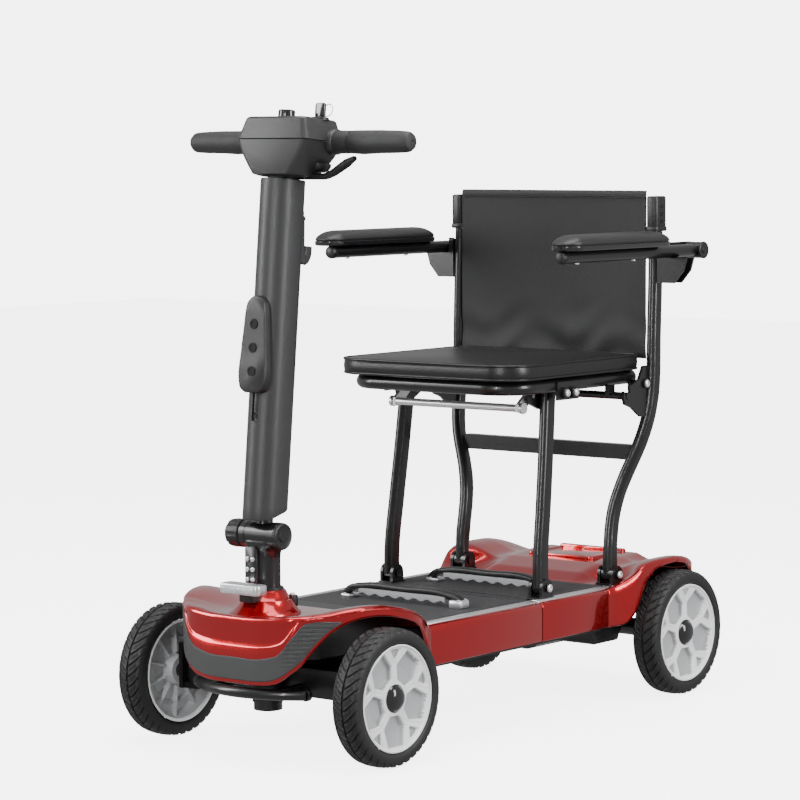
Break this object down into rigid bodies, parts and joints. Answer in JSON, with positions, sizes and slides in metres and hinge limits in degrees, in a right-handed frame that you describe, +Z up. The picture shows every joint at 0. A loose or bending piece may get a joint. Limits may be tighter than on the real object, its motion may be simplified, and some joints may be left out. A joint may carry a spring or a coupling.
{
  "type": "folding mobility scooter",
  "caption": "Folding four-wheel powered mobility scooter with a leaning tiller, a link-mounted folding seat, flip-up armrests and a low ribbed deck.",
  "frame": {"origin": "on the ground, midway between the two axles, on the centre plane; this is the middle of the bounding box's base", "axes": "+Z up, +Y towards the rear of the scooter, +X towards the rider's left"},
  "size_m": [0.524, 0.9465, 0.9475],
  "materials": {
    "tyre": "matte block-tread rubber",
    "wheel_silver": "painted silver alloy",
    "black_plastic": "fine-grained black moulding",
    "black_metal": "satin black powder coat",
    "red_shell": "metallic red gloss lacquer",
    "grey_trim": "grey textured moulding",
    "ribbed_mat": "ribbed dark grey rubber",
    "silver_trim": "brushed bright strip",
    "bright_steel": "zinc-plated steel",
    "lamp_clear": "clear ribbed lens",
    "tiller_grey": "dark grey satin cover",
    "grip_rubber": "soft black grip",
    "leatherette": "black leatherette",
    "back_fabric": "black nylon fabric",
    "pad_foam": "skinned black foam",
    "handle_black": "black handle with grey finger grip"
  },
  "bodies": {
    "chassis": {"chassis_frame": "black_metal", "front_axle_beam": "black_metal", "front_shell": "red_shell", "rear_shell": "red_shell", "bumper_trim": "grey_trim", "front_bumper_bar": "black_metal", "steering_collar": "red_shell", "headlight_housing": "silver_trim", "headlight_lens": "lamp_clear", "belly_pan": "black_plastic", "deck_mats": "ribbed_mat", "deck_trim_strips": "silver_trim", "power_pack": "black_plastic", "transaxle_housing": "black_metal", "drive_motor": "black_metal", "seat_leg_brackets": "black_metal", "handle_blocks": "silver_trim", "carry_handles": "handle_black"},
    "stem": {"steering_stem": "black_metal", "pitman_arm": "black_metal"},
    "tie_rods": {"tie_rods": "bright_steel"},
    "knuckle_left": {"knuckle_left": "black_metal"},
    "knuckle_right": {"knuckle_right": "black_metal"},
    "tiller": {"tiller_tube": "black_metal", "column_cover": "tiller_grey", "accessory_bracket": "black_plastic", "console_lower": "tiller_grey", "console_upper": "black_plastic", "hand_grips": "grip_rubber"},
    "fold_knob": {"fold_knob": "black_plastic"},
    "speed_knob": {"speed_knob": "black_plastic"},
    "ignition_key": {"ignition_key": "black_plastic"},
    "throttle": {"throttle_paddle": "black_plastic"},
    "bag_hook": {"bag_hook": "black_plastic"},
    "seat_back": {"back_posts": "black_metal", "post_caps": "black_plastic", "arm_brackets": "black_metal", "backrest_upper": "back_fabric", "backrest_lower": "back_fabric"},
    "seat": {"seat_frame": "black_metal", "seat_pan": "black_metal", "seat_cushion": "leatherette"},
    "front_legs": {"front_legs": "black_metal"},
    "release_bar": {"release_bar": "bright_steel"},
    "armrest_left": {"armrest_tube_left": "black_metal", "armrest_pad_left": "pad_foam"},
    "armrest_right": {"armrest_tube_right": "black_metal", "armrest_pad_right": "pad_foam"},
    "wheel_front_left": {"tyre_front_left": "tyre", "rim_front_left": "wheel_silver", "hub_front_left": "black_plastic"},
    "wheel_front_right": {"tyre_front_right": "tyre", "rim_front_right": "wheel_silver", "hub_front_right": "black_plastic"},
    "wheel_rear_left": {"tyre_rear_left": "tyre", "rim_rear_left": "wheel_silver", "hub_rear_left": "black_plastic"},
    "wheel_rear_right": {"tyre_rear_right": "tyre", "rim_rear_right": "wheel_silver", "hub_rear_right": "black_plastic"}
  },
  "joints": [
    {"name": "steer", "type": "hinge", "parent": "chassis", "child": "stem", "pos_m": [0, -0.392, 0.2], "axis": [0, 0, 1], "range_deg": [-30, 30]},
    {"name": "knuckle_left_turn", "type": "hinge", "parent": "chassis", "child": "knuckle_left", "pos_m": [0.155, -0.3725, 0.11], "axis": [0, 0, 1], "range_deg": [-30, 30]},
    {"name": "knuckle_right_turn", "type": "hinge", "parent": "chassis", "child": "knuckle_right", "pos_m": [-0.155, -0.3725, 0.11], "axis": [0, 0, 1], "range_deg": [-30, 30]},
    {"name": "tie_rods_pivot", "type": "hinge", "parent": "stem", "child": "tie_rods", "pos_m": [0, -0.332, 0.09], "axis": [0, 0, 1], "range_deg": [-30, 30]},
    {"name": "wheel_front_left_spin", "type": "hinge", "parent": "knuckle_left", "child": "wheel_front_left", "pos_m": [0.206, -0.3725, 0.1], "axis": [1, 0, 0], "continuous": true},
    {"name": "wheel_front_right_spin", "type": "hinge", "parent": "knuckle_right", "child": "wheel_front_right", "pos_m": [-0.206, -0.3725, 0.1], "axis": [1, 0, 0], "continuous": true},
    {"name": "wheel_rear_left_spin", "type": "hinge", "parent": "chassis", "child": "wheel_rear_left", "pos_m": [0.206, 0.3725, 0.1], "axis": [1, 0, 0], "continuous": true},
    {"name": "wheel_rear_right_spin", "type": "hinge", "parent": "chassis", "child": "wheel_rear_right", "pos_m": [-0.206, 0.3725, 0.1], "axis": [1, 0, 0], "continuous": true},
    {"name": "tiller_fold", "type": "hinge", "parent": "stem", "child": "tiller", "pos_m": [0, -0.398, 0.32], "axis": [1, 0, 0], "range_deg": [-28, 8]},
    {"name": "fold_knob_turn", "type": "hinge", "parent": "stem", "child": "fold_knob", "pos_m": [-0.045, -0.398, 0.32], "axis": [-1, 0, 0], "continuous": true},
    {"name": "speed_knob_turn", "type": "hinge", "parent": "tiller", "child": "speed_knob", "pos_m": [0, -0.33887, 0.92311], "axis": [0, 0.0976, 0.9952], "range_deg": [-135, 135]},
    {"name": "key_turn", "type": "hinge", "parent": "tiller", "child": "ignition_key", "pos_m": [0.045, -0.31697, 0.92096], "axis": [0, -0.0976, -0.9952], "range_deg": [0, 90]},
    {"name": "throttle_lever", "type": "hinge", "parent": "tiller", "child": "throttle", "pos_m": [0, -0.34706, 0.83951], "axis": [0, 0.0976, 0.9952], "range_deg": [-12, 12], "stiffness_Nm_per_rad": 1.5},
    {"name": "bag_hook_swing", "type": "hinge", "parent": "tiller", "child": "bag_hook", "pos_m": [0, -0.31352, 0.78196], "axis": [1, 0, 0], "range_deg": [0, 70]},
    {"name": "seat_fold", "type": "hinge", "parent": "chassis", "child": "seat_back", "pos_m": [0, 0.268, 0.2], "axis": [1, 0, 0], "range_deg": [0, 60], "deforming": ["backrest_lower"]},
    {"name": "seat_level", "type": "hinge", "parent": "seat_back", "child": "seat", "pos_m": [0, 0.301, 0.503], "axis": [1, 0, 0], "range_deg": [-60, 0]},
    {"name": "front_legs_fold", "type": "hinge", "parent": "chassis", "child": "front_legs", "pos_m": [0, 0.081, 0.2], "axis": [1, 0, 0], "range_deg": [0, 60]},
    {"name": "release_pull", "type": "hinge", "parent": "seat", "child": "release_bar", "pos_m": [0, 0.088, 0.495], "axis": [-1, 0, 0], "range_deg": [0, 20], "stiffness_Nm_per_rad": 0.5, "springref_deg": -20.05},
    {"name": "armrest_left_flip", "type": "hinge", "parent": "seat_back", "child": "armrest_left", "pos_m": [0.225, 0.395, 0.7115], "axis": [-1, 0, 0], "range_deg": [0, 95]},
    {"name": "armrest_right_flip", "type": "hinge", "parent": "seat_back", "child": "armrest_right", "pos_m": [-0.225, 0.395, 0.7115], "axis": [-1, 0, 0], "range_deg": [0, 95]}
  ],
  "couplings": [
    {"joint": "knuckle_left_turn", "follows": "steer", "ratio": 1},
    {"joint": "knuckle_right_turn", "follows": "steer", "ratio": 1},
    {"joint": "tie_rods_pivot", "follows": "steer", "ratio": -1},
    {"joint": "seat_level", "follows": "seat_fold", "ratio": -1},
    {"joint": "front_legs_fold", "follows": "seat_fold", "ratio": 1}
  ]
}
